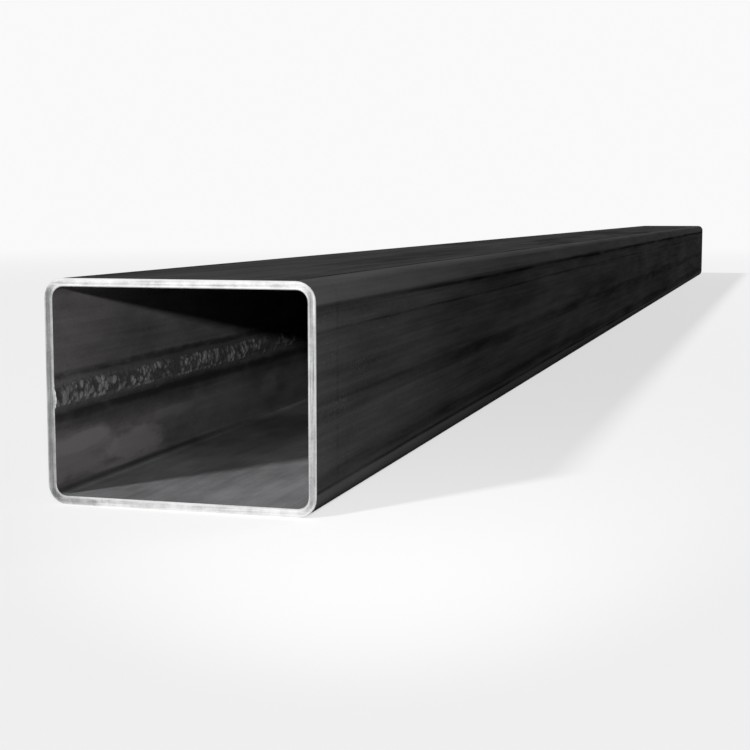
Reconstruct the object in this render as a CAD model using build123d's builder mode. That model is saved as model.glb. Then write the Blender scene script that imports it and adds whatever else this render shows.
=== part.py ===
"""Rectangular steel tube: one length of cold-formed, seam-welded hollow section, sawn off at both ends.

The tube lies along Y and rests on its bottom face. Its origin is the centre of that face.
"""

import os

from build123d import *

# Section, in millimetres
WIDTH = 100.0  # outside, across X
HEIGHT = 80.0  # outside, up Z
WALL = 3.0  # thickness of the strip that the tube is rolled from
INNER_RADIUS = 4.0  # inside of each formed corner
OUTER_RADIUS = INNER_RADIUS + WALL  # the strip keeps its thickness round the corner

# Length, in millimetres
LENGTH = 2000.0  # along Y, one third of a 6 m mill bar

# Seam, in millimetres: the weld is planed flush outside and left as a low bead inside
BEAD_WIDTH = 6.0  # along the wall
BEAD_HEIGHT = 1.4  # from the wall into the hollow
BEAD_ROOT = 0.5  # how deep the bead is fused into the wall
SEAM_DROP = 1.7  # from the middle of the -X wall down to the seam

# Sawn ends, in millimetres
EDGE_BREAK = 0.3  # the file stroke that takes the burr off the saw cut

# The section is drawn half way along the tube, seen from the -Y end, about the middle of its height
section_plane = Plane(origin=(0, 0, HEIGHT / 2), x_dir=(1, 0, 0), z_dir=(0, -1, 0))

inner_wall_x = WALL - WIDTH / 2
bead_bottom = -SEAM_DROP - BEAD_WIDTH / 2
bead_top = -SEAM_DROP + BEAD_WIDTH / 2

with BuildPart() as rectangular_tube:
    # The formed strip: four flat walls and four rounded corners of even thickness
    with BuildSketch(section_plane):
        RectangleRounded(WIDTH, HEIGHT, OUTER_RADIUS)
        RectangleRounded(WIDTH - 2 * WALL, HEIGHT - 2 * WALL, INNER_RADIUS, mode=Mode.SUBTRACT)
    extrude(amount=LENGTH / 2, both=True)

    # Sawn ends: the outer and inner edges of both rings of wall are broken
    sawn_faces = rectangular_tube.faces().filter_by(Axis.Y)
    chamfer(sawn_faces.edges(), length=EDGE_BREAK)

    # The bead inside the -X wall: a shallow arc on a root that is fused into the wall
    with BuildSketch(section_plane):
        with BuildLine():
            bead_crown = ThreePointArc(
                (inner_wall_x, bead_bottom),
                (inner_wall_x + BEAD_HEIGHT, -SEAM_DROP),
                (inner_wall_x, bead_top),
            )
            Polyline(
                bead_crown @ 1,
                (inner_wall_x - BEAD_ROOT, bead_top),
                (inner_wall_x - BEAD_ROOT, bead_bottom),
                bead_crown @ 0,
            )
        make_face()
    extrude(amount=LENGTH / 2, both=True)

rectangular_tube.part.label = "rectangular_tube"

os.makedirs("parts", exist_ok=True)
export_step(rectangular_tube.part, "parts/rectangular_tube.step")
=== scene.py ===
"""One length of rectangular steel tube: dark mill scale, bright sawn ends and a torn weld bead inside.

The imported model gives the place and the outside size. The mesh made here has the same section and length,
with the relief that the weld leaves inside. Lengths are in metres. The tube lies along Y, and its seam is
in the -X wall.
"""

import math
from collections import namedtuple

import bpy
import numpy as np
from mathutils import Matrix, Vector, noise


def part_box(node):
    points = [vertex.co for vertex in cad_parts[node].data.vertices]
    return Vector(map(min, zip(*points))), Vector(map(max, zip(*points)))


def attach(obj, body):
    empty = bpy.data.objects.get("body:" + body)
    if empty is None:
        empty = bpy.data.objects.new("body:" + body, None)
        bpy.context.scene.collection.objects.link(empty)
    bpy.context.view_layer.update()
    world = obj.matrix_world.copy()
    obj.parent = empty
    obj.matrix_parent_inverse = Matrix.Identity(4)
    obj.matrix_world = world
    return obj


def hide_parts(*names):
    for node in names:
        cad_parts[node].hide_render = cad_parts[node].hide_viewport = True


MM = 0.001
NODE = "rectangular_tube"

# Section
WALL = 3.0 * MM
INNER_RADIUS = 4.0 * MM
OUTER_RADIUS = INNER_RADIUS + WALL
EDGE_BREAK = 0.3 * MM  # the file stroke along both edges of each sawn end

# Seam: a planed stripe outside and a low torn bead inside
SEAM_DROP = 1.7 * MM  # from the middle of the -X wall down to the seam
BEAD_WIDTH = 6.0 * MM
BEAD_HEIGHT = 1.4 * MM
SPATTER_REACH = 4.9 * MM  # from the seam to the furthest drops beside the bead

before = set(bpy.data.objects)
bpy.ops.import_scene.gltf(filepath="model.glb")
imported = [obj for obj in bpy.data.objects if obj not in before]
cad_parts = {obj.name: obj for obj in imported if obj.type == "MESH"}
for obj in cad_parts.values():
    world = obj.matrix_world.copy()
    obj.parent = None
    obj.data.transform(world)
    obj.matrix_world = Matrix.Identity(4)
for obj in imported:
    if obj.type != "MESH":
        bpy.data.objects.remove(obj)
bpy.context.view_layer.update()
tube_low, tube_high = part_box(NODE)
tube_middle = (tube_low + tube_high) / 2
half_width, half_length, half_height = (tube_high - tube_low) / 2
near_end = tube_low.y
flat_width = 2 * (half_width - OUTER_RADIUS)  # between the corners of the top and bottom
flat_height = 2 * (half_height - OUTER_RADIUS)  # between the corners of the two side walls
seam_place = flat_height / 2 + SEAM_DROP  # from the start of the left side, which runs downwards


# ---------------------------------------------------------------- the section

# Sides of the section in the order of the stations, anticlockwise as seen from the near end. Each starts
# where one corner ends, and its own corner follows it.
LEFT, BOTTOM, RIGHT, TOP = range(4)
SIDE_NAMES = ("left", "bottom", "right", "top")
SIDE_NORMALS = (Vector((-1, 0)), Vector((0, -1)), Vector((1, 0)), Vector((0, 1)))
SIDE_RUNS = (flat_height, flat_width, flat_height, flat_width)

CORNER_STEPS = 6  # even, so that the middle of a corner is a station
CORNER_ARC = OUTER_RADIUS * math.pi / 2
FLAT_STEP = 17 * MM  # between stations, at most
BEAD_STEP = 0.36 * MM  # between those over the bead
ROUNDING = 0.01 * MM  # more than rounding can move a place by

# A point of the outer line: its side, its place along that side, and where it is and faces in the section
Station = namedtuple("Station", "side place point normal")


def flat_places(side):
    """Places of the stations along a side's flat, from its start. They lie close over the bead."""
    run = SIDE_RUNS[side]
    steps = math.ceil(run / FLAT_STEP)
    places = [run * step / steps for step in range(steps)]
    if side != LEFT:
        return places
    bead_steps = math.ceil(2 * SPATTER_REACH / BEAD_STEP)
    shares = [2 * step / bead_steps - 1 for step in range(bead_steps + 1)]
    on_bead = [seam_place + SPATTER_REACH * share for share in shares]
    beside = [place for place in places if abs(place - seam_place) > SPATTER_REACH + BEAD_STEP]
    return sorted(beside + on_bead)


def section_stations():
    """Stations once round the outer line of the section, each with its outward normal."""
    stations = []
    for side, normal in enumerate(SIDE_NORMALS):
        onward = Vector((-normal.y, normal.x))
        across = half_width if side in (LEFT, RIGHT) else half_height
        run = SIDE_RUNS[side]
        for place in flat_places(side):
            stations.append(Station(side, place, normal * across + onward * (place - run / 2), normal))
        corner_centre = normal * (across - OUTER_RADIUS) + onward * run / 2
        for step in range(CORNER_STEPS):
            share = step / CORNER_STEPS
            turned = normal * math.cos(share * math.pi / 2) + onward * math.sin(share * math.pi / 2)
            point = corner_centre + turned * OUTER_RADIUS
            stations.append(Station(side, run + share * CORNER_ARC, point, turned))
    return stations


def section_columns(stations):
    """Side and two places of each gap between stations. A side reaches to the middle of its corners."""
    columns = []
    for index, station in enumerate(stations):
        end_of_side = SIDE_RUNS[station.side] + CORNER_ARC
        following = stations[(index + 1) % len(stations)]
        end = following.place if following.side == station.side else end_of_side
        past_middle = station.place > end_of_side - CORNER_ARC / 2 - ROUNDING
        if past_middle:
            next_side = (station.side + 1) % len(SIDE_NAMES)
            columns.append((next_side, station.place - end_of_side, end - end_of_side))
        else:
            columns.append((station.side, station.place, end))
    return columns


# ---------------------------------------------------------------- the mesh

# Distances between the rings, and how far from each end the inside keeps its fine ones
NEAR_FINE_STEP = 0.42 * MM
NEAR_FINE_REACH = 170 * MM
FAR_FINE_STEP = 1.0 * MM
FAR_FINE_REACH = 50 * MM
INSIDE_COARSE_STEP = 12 * MM
OUTSIDE_STEP = 40 * MM

# The torn drops on the weld, in two sizes
LARGE_DROP = 3.0 * MM
SMALL_DROP = 1.5 * MM
SMALL_DROP_SHARE = 0.45  # of a large drop's height
DROP_RADIUS = 0.6  # in drop sizes
USUAL_DROP = 0.62  # height of a drop where the noise that varies it is 0
SPATTER_END = 1.55  # from the ridge, in half widths of the bead
SPATTER_FADE = 0.35  # over which the drops die out there
SHARP_STEP = 2.0 * MM  # with rings further apart than this, the drops sink into the ridge

# The ridge under them
RIDGE_WANDER = 0.7 * MM
RIDGE_SWELL = 0.25
RIDGE_SHARE = 0.50  # of the bead's height
RIDGE_LOSS = 0.12  # how much less where the drops are whole
DROP_SHARE = 0.42  # of the bead's height

# A line round the tube: its place along it, its depth below the outer line and its part of the skin
Ring = namedtuple("Ring", "along inset part")


def step_at(along):
    """Distance between the rings inside: small where the bead is seen close, larger deep in the tube."""
    from_near = along + half_length
    from_far = half_length - along
    near_share = max(0.0, from_near - NEAR_FINE_REACH) / half_length
    far_share = max(0.0, from_far - FAR_FINE_REACH) / half_length
    near_step = NEAR_FINE_STEP + (INSIDE_COARSE_STEP - NEAR_FINE_STEP) * near_share
    far_step = FAR_FINE_STEP + (INSIDE_COARSE_STEP - FAR_FINE_STEP) * far_share
    return min(near_step, far_step)


def inside_places():
    """Places of the rings inside, from the near end's broken edge to the far end's."""
    reach = half_length - EDGE_BREAK
    places = [-reach]
    while places[-1] < reach:
        places.append(places[-1] + step_at(places[-1]))
    stretch = 2 * reach / (places[-1] + reach)
    return [(place + reach) * stretch - reach for place in places]


def outside_places():
    """Places of the rings outside, from the near end's broken edge to the far end's."""
    reach = half_length - EDGE_BREAK
    steps = math.ceil(2 * reach / OUTSIDE_STEP)
    return [reach * (2 * step / steps - 1) for step in range(steps + 1)]


def tube_rings():
    """Rings of the closed skin: along the outside, over the far end, back inside and over the near end."""
    rings = [Ring(along, 0.0, "outside") for along in outside_places()]
    rings += [Ring(half_length, EDGE_BREAK, "far"), Ring(half_length, WALL - EDGE_BREAK, "far")]
    rings += [Ring(along, WALL, "inside") for along in reversed(inside_places())]
    rings += [Ring(-half_length, WALL - EDGE_BREAK, "near"), Ring(-half_length, EDGE_BREAK, "near")]
    return rings


def clamped(value):
    return min(1.0, max(0.0, value))


def drop_at(along, across, size):
    """Height from 0 to 1 of the torn drops of about a size, some of them small or missing."""
    place = Vector((along / size, across / size, size / MM))
    distances, _ = noise.voronoi(place)
    strength = clamped(USUAL_DROP + 0.8 * noise.noise(place * 0.45))
    return math.sqrt(max(0.0, 1 - (distances[0] / DROP_RADIUS) ** 2)) * strength


def weld_relief(along, across):
    """Shares of the bead's height: of the whole weld, and of the drops on and beside its ridge."""
    wander = RIDGE_WANDER * noise.noise(Vector((along * 18, 3.1, 0)))
    swell = 1 + RIDGE_SWELL * noise.noise(Vector((along * 70, 0, 9.7)))
    place = (across - wander) / (BEAD_WIDTH / 2)
    ridge = max(0.0, 1 - place * place) ** 0.7 * swell
    near_bead = clamped((SPATTER_END - abs(place)) / SPATTER_FADE)
    sharpness = min(1.0, SHARP_STEP / step_at(along))
    drops = drop_at(along, across, LARGE_DROP) + SMALL_DROP_SHARE * drop_at(along, across, SMALL_DROP)
    drops *= near_bead * sharpness
    weld = ridge * (RIDGE_SHARE - RIDGE_LOSS * sharpness) + DROP_SHARE * drops
    return min(1.0, weld), min(1.0, drops)


def tube_points(rings, stations):
    """The place of each vertex, with the shares of the weld's height there."""
    points = []
    shares = []
    for ring in rings:
        for station in stations:
            across = seam_place - station.place
            share = (0.0, 0.0)
            welded = station.side == LEFT and abs(across) < SPATTER_REACH
            if welded and ring.inset > WALL / 2:
                share = weld_relief(ring.along, across)
            flat_point = station.point - station.normal * (ring.inset + share[0] * BEAD_HEIGHT)
            points.append((
                tube_middle.x + flat_point.x,
                tube_middle.y + ring.along,
                tube_middle.z + flat_point.y,
            ))
            shares.append(share)
    return points, shares


# Where each part lies on the bake's map: lowest u, lowest v, highest u, highest v
MAP_BANDS = {
    "outside": (0.004, 0.006, 0.996, 0.470),
    "inside": (0.004, 0.480, 0.996, 0.955),
    "far": (0.004, 0.963, 0.996, 0.976),
    "near": (0.004, 0.984, 0.996, 0.997),
}
MAP_NEAR_SHARE = 6.0  # how much more of the map the near end gets than the rest of the length
MAP_NEAR_REACH = 120 * MM  # over which that share fades
MAP_WELD_SHARE = 3.0  # how much more of the map the weld's columns get than the rest of the section


def map_along(along):
    """Share of the map's width from the near end to a place along the tube."""

    def gathered(reach):
        return reach + MAP_NEAR_SHARE * MAP_NEAR_REACH * (1 - math.exp(-reach / MAP_NEAR_REACH))

    return gathered(along + half_length) / gathered(2 * half_length)


def map_around(columns):
    """Share of the way round at each station, and 1 after the last."""
    widths = []
    for side, start, end in columns:
        welded = side == LEFT and abs((start + end) / 2 - seam_place) < SPATTER_REACH
        widths.append((end - start) * (MAP_WELD_SHARE if welded else 1.0))
    gathered = np.concatenate([[0.0], np.cumsum(widths)])
    return gathered / gathered[-1]


def row_on_map(part, first, second, around):
    """Map places of the four corners of each face in the row between two rings."""
    start, end = around[:-1], around[1:]
    ahead = np.ones_like(start)
    onward = np.stack([first * ahead, second * ahead, second * ahead, first * ahead], 1)
    sideways = np.stack([start, start, end, end], 1)
    across_end = part in ("near", "far")
    places = np.stack([sideways, onward] if across_end else [onward, sideways], 2)
    low_u, low_v, high_u, high_v = MAP_BANDS[part]
    return places * (high_u - low_u, high_v - low_v) + (low_u, low_v)


def is_last(ring):
    """Whether a ring of the long sides is one that a sawn end begins at."""
    return abs(ring.along) > half_length - EDGE_BREAK - ROUNDING


def mark_sharp_rings(mesh, rings, count):
    """Keeps the shading of the long sides apart from that of the sawn ends, where the two meet."""
    at_cut = [index for index, ring in enumerate(rings) if ring.inset in (0, WALL) and is_last(ring)]
    edges = np.empty(2 * len(mesh.edges), dtype=int)
    mesh.edges.foreach_get("vertices", edges)
    first, second = edges[0::2] // count, edges[1::2] // count
    sharp = (first == second) & np.isin(first, at_cut)
    mesh.edges.foreach_set("use_edge_sharp", sharp)


def row_part(ring, beyond):
    """The part of the skin that the faces between two rings are in. A sawn end has those at its edges."""
    if ring.part == beyond.part:
        return ring.part
    return "near" if "near" in (ring.part, beyond.part) else "far"


INSIDE_SLOTS = len(SIDE_NAMES)  # the outside's four come first
SAWN_SLOT = 2 * len(SIDE_NAMES)


def tube_faces(rings, columns):
    """Faces of the skin, with their material slots and the places of their corners on the bake's map."""
    around = map_around(columns)
    count = len(columns)
    faces = []
    slots = []
    map_rows = []
    for index, ring in enumerate(rings):
        following = (index + 1) % len(rings)
        beyond = rings[following]
        part = row_part(ring, beyond)
        if part in ("near", "far"):
            first, second = ring.inset / WALL, beyond.inset / WALL
        else:
            first, second = map_along(ring.along), map_along(beyond.along)
        map_rows.append(row_on_map(part, first, second, around))
        for station, (side, _, _) in enumerate(columns):
            beside = (station + 1) % count
            faces.append((
                index * count + station,
                following * count + station,
                following * count + beside,
                index * count + beside,
            ))
            slots.append({"outside": side, "inside": INSIDE_SLOTS + side}.get(part, SAWN_SLOT))
    return faces, np.array(slots), np.concatenate(map_rows)


def add_values(mesh, name, domain, values):
    """Gives the mesh a named number at each point or face corner, for the materials."""
    attribute = mesh.attributes.new(name, "FLOAT", domain)
    attribute.data.foreach_set("value", np.ravel(values).astype(np.float32))


def make_tube():
    """The whole tube as one closed mesh, with what the materials and the bake need at each place."""
    stations = section_stations()
    columns = section_columns(stations)
    rings = tube_rings()
    points, weld_shares = tube_points(rings, stations)
    faces, slots, map_places = tube_faces(rings, columns)

    mesh = bpy.data.meshes.new("steel_tube")
    mesh.from_pydata(points, [], faces)
    mesh.update()
    mesh.polygons.foreach_set("material_index", slots)
    mesh.polygons.foreach_set("use_smooth", slots != SAWN_SLOT)
    mark_sharp_rings(mesh, rings, len(stations))

    corner_places = [(start, start, end, end) for _, start, end in columns]
    weld_heights, drop_heights = zip(*weld_shares)
    add_values(mesh, "side_place", "CORNER", [corner_places] * len(rings))
    add_values(mesh, "weld_height", "POINT", weld_heights)
    add_values(mesh, "drop_height", "POINT", drop_heights)
    add_values(mesh, "wall_depth", "POINT", [[ring.inset / WALL] * len(stations) for ring in rings])
    bake_map = mesh.uv_layers.new(name="OFBake")
    bake_map.uv.foreach_set("vector", map_places.ravel().astype(np.float32))

    tube = bpy.data.objects.new("steel_tube", mesh)
    bpy.context.collection.objects.link(tube)
    return tube


# ---------------------------------------------------------------- shader nodes

class Shader:
    """A material with short calls for its nodes. A value is a number, a colour or a node's output."""

    def __init__(self, name):
        self.material = bpy.data.materials.new(name)
        self.material.use_nodes = True
        self.tree = self.material.node_tree
        self.surface = self.tree.nodes["Principled BSDF"]
        self.object_place = self.tree.nodes.new("ShaderNodeTexCoord").outputs["Object"]

    def put(self, socket, value):
        """Links a node's output to a socket, or sets the socket to a number or colour."""
        if isinstance(value, bpy.types.NodeSocket):
            self.tree.links.new(value, socket)
        else:
            socket.default_value = value

    def set(self, **values):
        """Sets the surface's own sockets, named with _ for each space."""
        for name, value in values.items():
            self.put(self.surface.inputs[name.replace("_", " ")], value)

    def calculate(self, operation, first, second=0.0, third=0.0):
        """One step of arithmetic, named as Blender's Math node names it."""
        node = self.tree.nodes.new("ShaderNodeMath")
        node.operation = operation
        for socket, value in zip(node.inputs, (first, second, third)):
            self.put(socket, value)
        return node.outputs[0]

    def total(self, *terms):
        """Sum of terms, each a value or a (value, weight) pair."""
        result = 0.0
        for term in terms:
            value, weight = term if isinstance(term, tuple) else (term, 1.0)
            result = self.calculate("MULTIPLY_ADD", value, weight, result)
        return result

    def product(self, first, second):
        return self.calculate("MULTIPLY", first, second)

    def away(self, *terms):
        """How far a sum of terms is from zero."""
        return self.calculate("ABSOLUTE", self.total(*terms))

    def remap(self, value, low, high, new_low=0.0, new_high=1.0):
        """Smooth step from new_low to new_high as the value goes from low to high."""
        node = self.tree.nodes.new("ShaderNodeMapRange")
        node.interpolation_type = "SMOOTHSTEP"
        limits = {"From Min": low, "From Max": high, "To Min": new_low, "To Max": new_high}
        for name, amount in limits.items():
            node.inputs[name].default_value = amount
        self.put(node.inputs["Value"], value)
        return node.outputs["Result"]

    def attribute(self, name):
        """A number that the mesh holds at each place."""
        node = self.tree.nodes.new("ShaderNodeAttribute")
        node.attribute_name = name
        return node.outputs["Fac"]

    def axis(self, name):
        """Place along X, Y or Z."""
        node = self.tree.nodes.new("ShaderNodeSeparateXYZ")
        self.put(node.inputs[0], self.object_place)
        return node.outputs[name]

    def scaled_place(self, sizes, offset):
        """Place in cells of these sizes along X, Y and Z. Another offset makes another texture of it."""
        node = self.tree.nodes.new("ShaderNodeVectorMath")
        node.operation = "MULTIPLY_ADD"
        self.put(node.inputs[0], self.object_place)
        node.inputs[1].default_value = [1 / size for size in sizes]
        node.inputs[2].default_value = (offset, offset * 0.7, offset * 1.3)
        return node.outputs["Vector"]

    def noise(self, sizes, detail=2.0, offset=0.0):
        """Noise from about -1 to 1, whose features have these sizes along X, Y and Z."""
        node = self.tree.nodes.new("ShaderNodeTexNoise")
        node.inputs["Scale"].default_value = 1.0
        node.inputs["Detail"].default_value = detail
        self.put(node.inputs["Vector"], self.scaled_place(sizes, offset))
        return self.calculate("MULTIPLY_ADD", node.outputs["Fac"], 4.0, -2.0)

    def drawn_noise(self, across, along, **options):
        """Noise whose features have one size across the tube and another along it."""
        return self.noise((across, along, across), **options)

    def specks(self, sizes, offset=0.0):
        """Distance from the nearest of scattered points, in cells of these sizes."""
        node = self.tree.nodes.new("ShaderNodeTexVoronoi")
        node.inputs["Scale"].default_value = 1.0
        self.put(node.inputs["Vector"], self.scaled_place(sizes, offset))
        return node.outputs["Distance"]

    def blend(self, share, first, second):
        """Colour from the first to the second as the share goes from 0 to 1."""
        node = self.tree.nodes.new("ShaderNodeMix")
        node.data_type = "RGBA"
        self.put(node.inputs[0], share)
        for socket, colour in zip(node.inputs[6:8], (first, second)):
            self.put(socket, colour if isinstance(colour, bpy.types.NodeSocket) else (*colour, 1.0))
        return node.outputs[2]

    def relief(self, height_mm):
        """Bump from a height in millimetres."""
        node = self.tree.nodes.new("ShaderNodeBump")
        node.inputs["Distance"].default_value = MM
        self.put(node.inputs["Height"], height_mm)
        self.set(Normal=node.outputs["Normal"])


def from_near_end(shader):
    """Distance from the near end."""
    return shader.total(shader.axis("Y"), -near_end)


# ---------------------------------------------------------------- the scale outside

# A tone is the share of the way from a dark colour to a light one, and each layer of a look adds to it.
SCALE_DARK = (0.0061, 0.0061, 0.0063)
SCALE_LIGHT = (0.0955, 0.0957, 0.0972)
OUTSIDE_TONE = 0.46
OUTSIDE_ROUGHNESS = 0.78
NEAR_END_LIGHT_REACH = 250 * MM  # how far from the near end the outside is a little paler: painted light, strongest where the lamp by the camera lights it
CLAMP_MARK = 24 * MM  # from the near end to a faint line across the sides

# Marks that the forming rolls leave along the outside, dark partly from oil and partly as painted shade in
# their shallow
# grooves: place from the side's start, half width, darkness and how far from the near end a mark is faint.
# A darkness above 1 keeps a mark whole where others fade.
RollMarkAndShade = namedtuple("RollMarkAndShade", "place reach darkness faint_end", defaults=(0.0,))
ROLL_MARKS_AND_SHADE = {
    LEFT: (
        RollMarkAndShade(2.6 * MM, 0.9 * MM, 0.8),
        RollMarkAndShade(11.0 * MM, 0.6 * MM, 0.4),
        RollMarkAndShade(flat_height - 3.0 * MM, 1.0 * MM, 0.7),
    ),
    BOTTOM: (
        RollMarkAndShade(3.0 * MM, 1.0 * MM, 0.7),
        RollMarkAndShade(46.0 * MM, 3.0 * MM, 0.3),
        RollMarkAndShade(flat_width - 2.6 * MM, 0.9 * MM, 0.8),
    ),
    RIGHT: (
        RollMarkAndShade(1.6 * MM, 0.8 * MM, 0.75),
        RollMarkAndShade(6.0 * MM, 3.0 * MM, 0.50),
        RollMarkAndShade(28.7 * MM, 4.4 * MM, 0.54),
        RollMarkAndShade(55.3 * MM, 0.6 * MM, 0.65),
        # Along the top of this side: a broad band of painted shadow, and a roll mark in it whose darkening
        # deeper in is painted shadow too.
        RollMarkAndShade(62.4 * MM, 2.6 * MM, 0.30),
        RollMarkAndShade(63.1 * MM, 1.1 * MM, 1.5, faint_end=190 * MM),
    ),
    TOP: (
        RollMarkAndShade(2.6 * MM, 0.9 * MM, 0.8),
        RollMarkAndShade(12.5 * MM, 0.6 * MM, 0.4),
        RollMarkAndShade(40.0 * MM, 3.5 * MM, 0.3),
        RollMarkAndShade(flat_width - 3.0 * MM, 1.0 * MM, 0.7),
    ),
}
MARK_WANDER = 0.5 * MM  # how far a roll mark strays to each side of its place
FAINT_SHARE = 0.45  # of a mark's darkness where it is faint

# Over the seam: a stripe planed down to bare steel, in a band blued by the heat
PLANED_REACH = 3.6 * MM  # half the stripe's width
PLANED_DARK = (0.030, 0.031, 0.034)
PLANED_LIGHT = (0.21, 0.215, 0.23)
HEATED_REACH = 9.0 * MM  # half the band's width
BLUED = (0.020, 0.022, 0.030)


def mark_at(shader, place, mark, wander, patches):
    """Darkness of one roll mark, partly painted shade: a wavering line that is fainter in places."""
    from_mark = shader.away(place, (wander, MARK_WANDER), -mark.place)
    line = shader.remap(from_mark, mark.reach * 0.3, mark.reach * 1.25, mark.darkness, 0.0)
    darkness = shader.calculate("MINIMUM", shader.product(line, patches), 1.0)
    if not mark.faint_end:
        return darkness
    strength = shader.remap(from_near_end(shader), mark.faint_end * 0.3, mark.faint_end, FAINT_SHARE, 1.0)
    return shader.product(darkness, strength)


def roll_marks_and_shade(shader, side, place, wander, patches):
    """Darkness of all the roll marks of one side, partly painted shade."""
    marks = 0.0
    for mark in ROLL_MARKS_AND_SHADE[side]:
        marks = shader.calculate("MAXIMUM", marks, mark_at(shader, place, mark, wander, patches))
    return marks


def clamp_mark(shader, wander, patches):
    """Darkness of the faint line across the sides."""
    from_mark = shader.away(from_near_end(shader), (wander, 0.6 * MM), -CLAMP_MARK)
    return shader.product(shader.remap(from_mark, 0.4 * MM, 2.2 * MM, 1.0, 0.0), patches)


def fine_scratches(shader):
    """Light scratches along the tube, in some zones."""
    lines = shader.drawn_noise(0.35 * MM, 60 * MM, detail=1, offset=11.0)
    zones = shader.drawn_noise(14 * MM, 90 * MM, offset=6.4)
    return shader.product(shader.remap(lines, 0.7, 1.2), shader.remap(zones, -0.2, 0.7))


def small_scuffs(shader):
    """Small light scuffs, in some zones."""
    cells = shader.specks((1.3 * MM, 2.4 * MM, 1.3 * MM), offset=3.0)
    zones = shader.drawn_noise(7 * MM, 40 * MM, offset=15.2)
    return shader.product(shader.remap(cells, 0.32, 0.14), shader.remap(zones, 0.15, 0.9))


def seam_outside(shader, place, wander, blotches, colour):
    """The colour with the seam's blued band and planed stripe over it, and the stripe's share."""
    from_seam = shader.away(place, (wander, 0.4 * MM), -seam_place)
    blued = shader.remap(from_seam, HEATED_REACH * 0.6, HEATED_REACH, 0.55, 0.0)
    planed = shader.remap(from_seam, PLANED_REACH * 0.85, PLANED_REACH * 1.1, 1.0, 0.0)
    scrapes = shader.drawn_noise(0.4 * MM, 40 * MM, offset=1.1)
    chatter = shader.drawn_noise(30 * MM, 1.8 * MM, detail=1, offset=8.8)
    steel_tone = shader.total(0.42, (scrapes, 0.22), (chatter, 0.10), (blotches, 0.10))
    steel = shader.blend(steel_tone, PLANED_DARK, PLANED_LIGHT)
    return shader.blend(planed, shader.blend(blued, colour, BLUED), steel), planed


def outside_scale(side):
    """Rolled outside of one side: dark scale with worn corners painted lighter as a highlight, roll marks
    whose darkness is partly painted shade, painted light near the sawn end, streaks and scuffs.
    """
    shader = Shader(f"mill_scale_outside_{SIDE_NAMES[side]}")
    place = shader.attribute("side_place")
    clouds = shader.drawn_noise(26 * MM, 210 * MM, detail=3, offset=9.7)
    blotches = shader.drawn_noise(6 * MM, 62 * MM, detail=3, offset=4.1)
    streaks = shader.drawn_noise(1.6 * MM, 160 * MM, detail=3, offset=7.3)
    grain = shader.drawn_noise(0.9 * MM, 2.5 * MM, offset=2.9)
    wander = shader.drawn_noise(200 * MM, 150 * MM, detail=1, offset=side * 3.7)
    wear = shader.drawn_noise(5 * MM, 70 * MM, detail=3, offset=5.5)
    patches = shader.remap(wear, -0.9, 0.5, 0.25, 1.0)

    from_corner = shader.calculate("MINIMUM", place, shader.total(SIDE_RUNS[side], (place, -1.0)))
    corner_edge = shader.total(from_corner, (wander, 0.3 * MM))
    # Corners: partly worn, partly painted highlight where the rounded corners would catch the light.
    corner_wear_and_highlight = shader.remap(corner_edge, 0.5 * MM, 1.4 * MM, 1.0, 0.0)
    marks = roll_marks_and_shade(shader, side, place, wander, patches)
    clamp_line = clamp_mark(shader, wander, patches)
    # Painted light: the outside is paler near the sawn end.
    near_end_light = shader.remap(from_near_end(shader), NEAR_END_LIGHT_REACH, NEAR_END_LIGHT_REACH * 0.2)
    scuffs = small_scuffs(shader)

    tone = shader.total(
        OUTSIDE_TONE,
        (clouds, 0.12),
        (blotches, 0.08),
        (streaks, 0.065),
        (grain, 0.035),
        (near_end_light, 0.07),
        (corner_wear_and_highlight, 0.21),
        (marks, -0.28),
        (clamp_line, -0.05),
        (fine_scratches(shader), 0.12),
        (scuffs, 0.24),
    )
    colour = shader.blend(shader.remap(tone, 0.0, 1.0), SCALE_DARK, SCALE_LIGHT)
    rough = shader.total(
        OUTSIDE_ROUGHNESS, (clouds, 0.05), (streaks, 0.05), (corner_wear_and_highlight, -0.06), (scuffs, -0.15),
    )
    if side == LEFT:
        colour, planed = seam_outside(shader, place, wander, blotches, colour)
        rough = shader.total(rough, (planed, -0.30))
        shader.set(Metallic=shader.product(planed, 0.8))
    shader.set(Base_Color=colour, Roughness=rough, Specular_IOR_Level=0.0)
    shader.relief(shader.total((streaks, 0.006), (grain, 0.006), (marks, -0.10), (clamp_line, -0.02)))
    return shader.material


# ---------------------------------------------------------------- the scale inside

INSIDE_DARK = (0.0128, 0.0119, 0.0123)
INSIDE_LIGHT = (0.180, 0.170, 0.174)
# The floor inside is a lighter, bluer copy of the inside scale: painted light, for the key light that falls
# on it.
PAINTED_LIT_FLOOR_DARK = (0.0312, 0.0315, 0.0325)
PAINTED_LIT_FLOOR_LIGHT = (0.276, 0.279, 0.286)
# The top's lower tone is painted shade and the bottom's higher one painted light: the inside is the same
# scale all round, darker on top where little light reaches it and lighter on the floor where the key light
# falls.
INSIDE_TONES = {LEFT: 0.40, BOTTOM: 0.45, RIGHT: 0.43, TOP: 0.33}
INSIDE_ROUGHNESS = 0.66
INSIDE_GLOSS = 0.25
BEAD_DARK = (0.050, 0.048, 0.0485)
BEAD_LIGHT = (0.190, 0.186, 0.186)

# The heated band round the weld, from the seam up and down to its dark edges, which are partly painted
# shade along the band
HEAT_EDGE_ABOVE = 7.0 * MM
HEAT_EDGE_BELOW = 7.2 * MM
UPPER_EDGE_REACH = 1.96 * MM  # half the upper edge's width
LOWER_EDGE_REACH = UPPER_EDGE_REACH * 1.7
EDGE_DARKNESS = 0.24
SHADE_REACH = 11.0 * MM  # how far below the lower edge the wall is still darker

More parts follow.
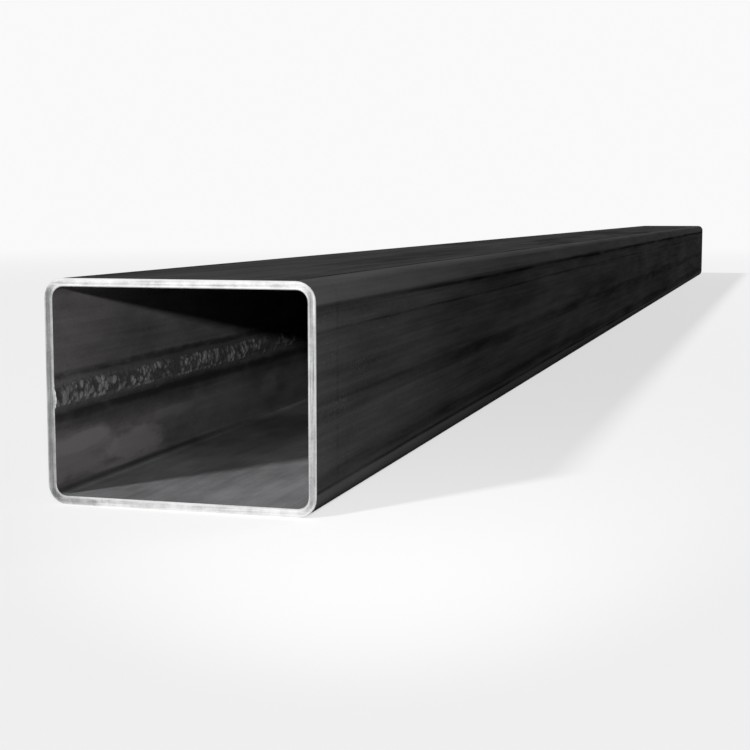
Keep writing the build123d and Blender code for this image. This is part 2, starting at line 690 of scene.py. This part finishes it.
MOUTH_LIGHT_REACH = 100 * MM  # how far in from the near end the left wall is painted paler, as painted light that fades deeper in
CORNER_SHADE_REACH = 150 * MM  # how far in the corner between that wall and the floor is dark: painted shade
CORNER_SHADE_DARKNESS = 0.24
FLOOR_SHADE_MIDDLE = 165 * MM  # from the near end to the middle of a patch of painted shade on the floor by that corner, where little light reaches
FLOOR_SHADE_LENGTH = 90 * MM  # to each side of its middle
FLOOR_SHADE_WIDTH = 42 * MM  # from the corner
FLOOR_SHADE_DARKNESS = 0.19

# Painted light low on the left wall, where the lit floor inside shines on it: middle from the near end and
# above the tube's underside, half length, half height and how much paler
LitPatch = namedtuple("LitPatch", "along height length reach paleness")
LIT_PATCHES = (
    LitPatch(14 * MM, 16 * MM, 52 * MM, 11 * MM, 0.26),
    LitPatch(16 * MM, 19.5 * MM, 36 * MM, 4.2 * MM, 0.26),
    LitPatch(68 * MM, 13 * MM, 36 * MM, 7.0 * MM, 0.32),
    LitPatch(56 * MM, 6 * MM, 34 * MM, 2.4 * MM, 0.16),
    LitPatch(94 * MM, 20 * MM, 34 * MM, 3.6 * MM, 0.14),
    LitPatch(216 * MM, 17 * MM, 16 * MM, 8.0 * MM, 0.10),
)


def weld_tone(shader, place):
    """Change of tone round the weld on the left wall inside: a darker heated band, dark edges that are
    partly painted shade, and painted shade below the band.
    """
    wander = shader.drawn_noise(200 * MM, 40 * MM, offset=2.2)
    above = shader.total(seam_place, (place, -1.0), (wander, 0.5 * MM))
    from_seam = shader.calculate("ABSOLUTE", above)
    band = shader.remap(from_seam, HEAT_EDGE_ABOVE * 0.85, HEAT_EDGE_ABOVE * 1.05, -0.07, 0.0)

    frays = shader.drawn_noise(2.2 * MM, 4.5 * MM, offset=31.0)
    frayed = shader.total(above, (frays, 0.45 * MM))
    # Dark edges of the band: partly heat marks, partly painted shade.
    edges = 0.0
    for edge, reach in ((HEAT_EDGE_ABOVE, UPPER_EDGE_REACH), (-HEAT_EDGE_BELOW, LOWER_EDGE_REACH)):
        from_edge = shader.away(frayed, -edge)
        edges = shader.calculate("MAXIMUM", edges, shader.remap(from_edge, 0.2 * MM, reach, 1.0, 0.0))
    wear = shader.drawn_noise(4 * MM, 11 * MM, detail=3, offset=12.0)
    breaks = shader.remap(wear, -1.0, 0.3, 0.30, 1.0)

    # Painted shade below the lower edge.
    low_edge = -HEAT_EDGE_BELOW
    shade = shader.remap(above, low_edge - SHADE_REACH, low_edge - 1.5 * MM, 0.0, -0.21)
    below = shader.remap(above, low_edge, low_edge + 1.0 * MM, 1.0, 0.0)
    return shader.total(
        band,
        (shader.product(edges, breaks), -EDGE_DARKNESS),
        shader.product(shade, below),
    )


def mouth_light_and_shade(shader, place):
    """Painted light and shade on the left wall inside near the sawn end: paler, with painted patches of
    light low down, and painted shade in its corner by the floor.
    """
    drift = shader.drawn_noise(14 * MM, 200 * MM, offset=23.0)
    reach = shader.total(from_near_end(shader), (drift, 9 * MM))
    height = shader.total(flat_height + OUTER_RADIUS, (place, -1.0))
    # Painted light: the wall is paler near the sawn end, fading deeper in.
    mouth = shader.remap(reach, MOUTH_LIGHT_REACH, MOUTH_LIGHT_REACH * 0.1)

    # Painted patches of light, reflected from the lit floor inside.
    fraying = shader.drawn_noise(6 * MM, 18 * MM, detail=3, offset=20.4)
    lit_patches = 0.0
    for lit_patch in LIT_PATCHES:
        along = shader.calculate("DIVIDE", shader.total(reach, -lit_patch.along), lit_patch.length)
        up = shader.calculate("DIVIDE", shader.total(height, -lit_patch.height), lit_patch.reach)
        from_middle = shader.total(shader.product(along, along), shader.product(up, up), (fraying, 0.42))
        lit_patches = shader.total(lit_patches, shader.remap(from_middle, 0.2, 0.9, lit_patch.paleness, 0.0))

    # Painted shade in the corner between the wall and the floor.
    in_corner = shader.remap(height, OUTER_RADIUS - 2.0 * MM, OUTER_RADIUS - 4.5 * MM)
    corner_shade = shader.product(in_corner, shader.remap(reach, CORNER_SHADE_REACH * 1.4, CORNER_SHADE_REACH * 0.6))
    return shader.total((mouth, 0.10), lit_patches, (corner_shade, -CORNER_SHADE_DARKNESS))


def painted_floor_shade(shader, place, clouds):
    """Painted shade on the floor inside: the dark corner by the left wall, and a darker patch deeper in
    where little light reaches.
    """
    reach = from_near_end(shader)
    # Painted shade in the corner by the left wall.
    in_corner = shader.remap(place, -CORNER_ARC / 2 + 0.5 * MM, -CORNER_ARC / 2 + 2.5 * MM, 1.0, 0.0)
    corner_shade = shader.remap(reach, CORNER_SHADE_REACH * 1.4, CORNER_SHADE_REACH * 0.6, 0.0, -CORNER_SHADE_DARKNESS)
    from_floor_shade = shader.away(reach, (clouds, 8 * MM), -FLOOR_SHADE_MIDDLE)
    floor_shade_along = shader.remap(from_floor_shade, FLOOR_SHADE_LENGTH * 0.3, FLOOR_SHADE_LENGTH, -FLOOR_SHADE_DARKNESS, 0.0)
    floor_shade_across = shader.remap(place, FLOOR_SHADE_WIDTH * 0.5, FLOOR_SHADE_WIDTH, 1.0, 0.0)
    return shader.total(shader.product(in_corner, corner_shade), shader.product(floor_shade_along, floor_shade_across))


def bead_inside(shader, blotches, grain, colour):
    """The colour with the bead's metal over it, its drops painted lighter on top and darker between as
    painted highlight and shade, and the bead's share.
    """
    # Painted highlight and shade: the higher a drop, the lighter its metal.
    drop_light_and_shade = shader.remap(shader.attribute("drop_height"), 0.20, 1.0)
    metal_tone = shader.total(drop_light_and_shade, (grain, 0.10), (blotches, 0.12))
    metal = shader.blend(metal_tone, BEAD_DARK, BEAD_LIGHT)
    on_bead = shader.remap(shader.attribute("weld_height"), 0.03, 0.22)
    return shader.blend(on_bead, colour, metal), on_bead


def inside_scale(side):
    """Inside of one side: greyer, cloudy scale. The left one carries the weld in its heated band."""
    shader = Shader(f"mill_scale_inside_{SIDE_NAMES[side]}")
    place = shader.attribute("side_place")
    clouds = shader.drawn_noise(24 * MM, 60 * MM, detail=3, offset=1.3)
    blotches = shader.drawn_noise(7 * MM, 20 * MM, detail=3, offset=8.2)
    streaks = shader.drawn_noise(1.6 * MM, 90 * MM, offset=3.3)
    grain = shader.drawn_noise(0.8 * MM, 1.6 * MM, offset=9.1)

    tone = shader.total(
        INSIDE_TONES[side], (clouds, 0.10), (blotches, 0.06), (streaks, 0.045), (grain, 0.03),
    )
    if side == LEFT:
        tone = shader.total(tone, weld_tone(shader, place), mouth_light_and_shade(shader, place))
    if side == BOTTOM:
        tone = shader.total(tone, painted_floor_shade(shader, place, clouds))
    dark, light = (PAINTED_LIT_FLOOR_DARK, PAINTED_LIT_FLOOR_LIGHT) if side == BOTTOM else (INSIDE_DARK, INSIDE_LIGHT)
    colour = shader.blend(shader.remap(tone, 0.0, 1.0), dark, light)
    rough = shader.total(INSIDE_ROUGHNESS, (clouds, 0.05), (streaks, 0.04))
    height = shader.total((streaks, 0.006), (grain, 0.008))
    if side == LEFT:
        colour, on_bead = bead_inside(shader, blotches, grain, colour)
        rough = shader.total(rough, (on_bead, -0.22))
        height = shader.total(height, (shader.product(grain, on_bead), 0.05))
    shader.set(Base_Color=colour, Roughness=rough, Specular_IOR_Level=INSIDE_GLOSS)
    shader.relief(height)
    return shader.material


# ---------------------------------------------------------------- the saw cut

SAWN_DARK = (0.16, 0.162, 0.166)
SAWN_LIGHT = (0.80, 0.80, 0.80)
SAWN_TONE = 0.66
SAWN_ROUGHNESS = 0.33
UPRIGHT_SHADE = 0.30  # how much darker the cut of the side walls is
LEFT_SHADE = 0.15  # how much darker still on the left
SMUDGE_START = 15 * MM  # from the tube's left side: a grey smudge on the lower left of the cut
SMUDGE_END = 25 * MM
SMUDGE_DARKNESS = 0.24


def upright_share(shader):
    """1 on the cut of the side walls and 0 on that of the top and bottom, with the corners between."""
    from_middle = shader.away(shader.axis("X"), -tube_middle.x)
    from_level = shader.away(shader.axis("Z"), -tube_middle.z)
    return shader.product(
        shader.remap(from_middle, half_width - OUTER_RADIUS * 0.8, half_width - OUTER_RADIUS * 0.3),
        shader.remap(from_level, half_height + OUTER_RADIUS * 0.2, half_height - OUTER_RADIUS * 0.8),
    )


def sawn_steel():
    """Bare steel of the saw cut, dressed along the walls: a scratched middle and bright broken edges, filed
    and partly painted highlight.
    """
    shader = Shader("sawn_steel")
    upright = upright_share(shader)
    level = shader.total(1.0, (upright, -1.0))
    level_lines = shader.noise((26 * MM, 60 * MM, 0.5 * MM), detail=3)
    upright_lines = shader.noise((0.5 * MM, 60 * MM, 26 * MM), detail=3, offset=5.0)
    lines = shader.total(shader.product(level_lines, level), shader.product(upright_lines, upright))
    mottle = shader.noise((4 * MM, 4 * MM, 4 * MM), detail=3, offset=9.0)
    blotches = shader.product(mottle, shader.total(0.14, (upright, -0.08)))
    flecks = shader.noise((0.9 * MM, 0.9 * MM, 0.9 * MM), offset=13.0)

    depth = shader.attribute("wall_depth")
    from_edge = shader.calculate("MINIMUM", depth, shader.total(1.0, (depth, -1.0)))
    edge_wander = shader.noise((5 * MM, 5 * MM, 5 * MM), offset=17.0)
    # Bright edges: filed, and partly painted highlight where the broken edges catch the light.
    filed_and_highlit = shader.remap(shader.total(from_edge, (edge_wander, 0.07)), 0.14, 0.32, 1.0, 0.0)

    across = shader.axis("X")
    on_left = shader.remap(across, tube_middle.x - half_width * 0.6, tube_middle.x, 1.0, 0.0)
    shade = shader.product(upright, shader.total(UPRIGHT_SHADE, (on_left, LEFT_SHADE)))
    from_left = shader.total(across, (mottle, 3 * MM), -tube_low.x)
    smudge = shader.product(
        shader.remap(from_left, SMUDGE_START, SMUDGE_END, 1.0, 0.0),
        shader.remap(shader.axis("Z"), tube_low.z + WALL, tube_low.z + OUTER_RADIUS, 1.0, 0.0),
    )
    tone = shader.total(
        SAWN_TONE,
        (lines, 0.16),
        blotches,
        (flecks, 0.05),
        (shade, -1.0),
        (smudge, -SMUDGE_DARKNESS),
        (filed_and_highlit, 0.22),
    )
    shader.set(
        Base_Color=shader.blend(shader.remap(tone, 0.0, 1.0), SAWN_DARK, SAWN_LIGHT),
        Roughness=shader.total(SAWN_ROUGHNESS, (lines, 0.03), (mottle, 0.02), (filed_and_highlit, -0.04)),
        Metallic=1.0,
    )
    shader.relief(shader.total((lines, 0.004), (flecks, 0.003)))
    return shader.material


tube = make_tube()
for side in range(len(SIDE_NAMES)):
    tube.data.materials.append(outside_scale(side))
for side in range(len(SIDE_NAMES)):
    tube.data.materials.append(inside_scale(side))
tube.data.materials.append(sawn_steel())
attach(tube, "root")
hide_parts(NODE)


# ---------------------------------------------------------------- floor, lights and camera

BACKGROUND = 0.95  # what the camera and reflections see round the tube, where 1 is white
AMBIENT = 0.08  # the light that comes from all round
FLOOR_ALBEDO = 0.26  # as it lights the tube
FLOOR_SEEN_ALBEDO = 0.85  # as the camera sees it
FLOOR_ROUGHNESS = 0.9
FLOOR_REACH = 30.0
FLOOR_PAPER_NEAR = 0.67  # share of the plain background in the floor's look by the tube
FLOOR_FADE_START = 0.6  # from the middle of the tube's length and width, where the floor begins to fade
FLOOR_FADE_END = 3.0


def seen_directly(tree):
    """1 for rays from the camera and for reflected and refracted ones, so metal shows the background."""
    rays = tree.nodes.new("ShaderNodeLightPath")
    result = rays.outputs["Is Camera Ray"]
    for name in ("Is Glossy Ray", "Is Transmission Ray"):
        most = tree.nodes.new("ShaderNodeMath")
        most.operation = "MAXIMUM"
        tree.links.new(result, most.inputs[0])
        tree.links.new(rays.outputs[name], most.inputs[1])
        result = most.outputs[0]
    return result


def floor_paper():
    """Pale paper that shows the tube's shadow and glows like the background away from the tube."""
    shader = Shader("floor_paper")
    direct = seen_directly(shader.tree)
    shader.set(
        Base_Color=shader.blend(direct, (FLOOR_ALBEDO,) * 3, (FLOOR_SEEN_ALBEDO,) * 3),
        Roughness=FLOOR_ROUGHNESS,
        Specular_IOR_Level=0.0,
    )
    length = shader.tree.nodes.new("ShaderNodeVectorMath")
    length.operation = "LENGTH"
    shader.put(length.inputs[0], shader.object_place)
    distance = length.outputs["Value"]
    paper = shader.remap(distance, FLOOR_FADE_START, FLOOR_FADE_END, FLOOR_PAPER_NEAR, 1.0)
    glow = shader.tree.nodes.new("ShaderNodeEmission")
    glow.inputs["Strength"].default_value = BACKGROUND
    mixed = shader.tree.nodes.new("ShaderNodeMixShader")
    shader.put(mixed.inputs["Fac"], shader.product(paper, direct))
    shader.put(mixed.inputs[1], shader.surface.outputs["BSDF"])
    shader.put(mixed.inputs[2], glow.outputs["Emission"])
    shader.put(shader.tree.nodes["Material Output"].inputs["Surface"], mixed.outputs["Shader"])
    return shader.material


def make_floor():
    """A wide floor under the tube."""
    corners = [(-1, -1), (1, -1), (1, 1), (-1, 1)]
    points = [(x * FLOOR_REACH, y * FLOOR_REACH, tube_low.z) for x, y in corners]
    mesh = bpy.data.meshes.new("floor")
    mesh.from_pydata(points, [], [(0, 1, 2, 3)])
    mesh.materials.append(floor_paper())
    floor = bpy.data.objects.new("floor", mesh)
    bpy.context.collection.objects.link(floor)


def make_world():
    """Even light from all round, which the camera and reflections see as the plain background."""
    world = bpy.data.worlds.new("studio")
    bpy.context.scene.world = world
    world.use_nodes = True
    tree = world.node_tree
    strength = tree.nodes.new("ShaderNodeMapRange")
    strength.inputs["To Min"].default_value = AMBIENT
    strength.inputs["To Max"].default_value = BACKGROUND
    tree.links.new(seen_directly(tree), strength.inputs["Value"])
    background = tree.nodes["Background"]
    background.inputs["Color"].default_value = (1.0, 1.0, 1.0, 1.0)
    tree.links.new(strength.outputs["Result"], background.inputs["Strength"])


def aim(thing, place, direction):
    """Puts a lamp or camera at a place, looking along a direction."""
    holder = bpy.data.objects.new(thing.name, thing)
    holder.location = place
    holder.rotation_euler = direction.to_track_quat("-Z", "Y").to_euler()
    bpy.context.collection.objects.link(holder)
    return holder


foot = Vector((tube_middle.x, near_end, tube_low.z))  # the middle of the sawn end's lower edge
mouth = Vector((tube_middle.x, near_end, tube_middle.z))  # the middle of the sawn end

KEY_PLACE = Vector((0, 0, 2))  # any place will do, because a sun shines the same everywhere
KEY_ELEVATION = math.radians(31.0)
KEY_TRAVEL = (0.533, 0.846)  # across and along the floor, away from the camera and to its right
KEY_ANGLE = math.radians(5.5)
KEY_STRENGTH = 3.7
FILL_OFFSET = Vector((1.7, 2.3, 1.3))  # from the mouth, to a place beyond the far end
FILL_SIZE = 1.5
FILL_POWER = 17.0
# The photographer's own light, just above the camera: it reaches into the tube below the top wall's shadow
FLASH_OFFSET = Vector((0.188, -0.43, 0.147))  # from the foot
FLASH_TARGET = Vector((0.015, 0.19, 0.048))  # from the foot
FLASH_RADIUS = 0.007
FLASH_CONE = math.radians(42.0)
FLASH_POWER = 12.5


def make_lamps():
    """A soft key from behind the camera's left, a fill beyond the far end and a light above the camera."""
    key = bpy.data.lights.new("key", "SUN")
    key.energy = KEY_STRENGTH
    key.angle = KEY_ANGLE
    across, along = (part * math.cos(KEY_ELEVATION) for part in KEY_TRAVEL)
    aim(key, KEY_PLACE, Vector((across, along, -math.sin(KEY_ELEVATION))))

    fill = bpy.data.lights.new("fill", "AREA")
    fill.shape = "DISK"
    fill.size = FILL_SIZE
    fill.energy = FILL_POWER
    aim(fill, mouth + FILL_OFFSET, -FILL_OFFSET)

    flash = bpy.data.lights.new("flash", "SPOT")
    flash.energy = FLASH_POWER
    flash.shadow_soft_size = FLASH_RADIUS
    flash.spot_size = FLASH_CONE
    flash.spot_blend = 1.0
    aim(flash, foot + FLASH_OFFSET, FLASH_TARGET - FLASH_OFFSET)


# The camera stands where the photographer did: before the sawn end, to its right and just above the top
CAMERA_OFFSET = Vector((0.2038, -0.4651, 0.1029))  # from the foot
HEADING = math.radians(16.0)  # to the left of straight along the tube
PITCH = math.radians(6.3)  # downwards
LENS = 71.0
SENSOR = 36.0


def make_camera():
    """The photographer's camera, with its heading, pitch and lens."""
    camera = bpy.data.cameras.new("camera")
    camera.lens = LENS
    camera.sensor_width = SENSOR
    look = Vector((
        -math.sin(HEADING) * math.cos(PITCH),
        math.cos(HEADING) * math.cos(PITCH),
        -math.sin(PITCH),
    ))
    bpy.context.scene.camera = aim(camera, foot + CAMERA_OFFSET, look)


make_floor()
make_world()
make_lamps()
make_camera()
bpy.context.scene.view_settings.view_transform = "Standard"
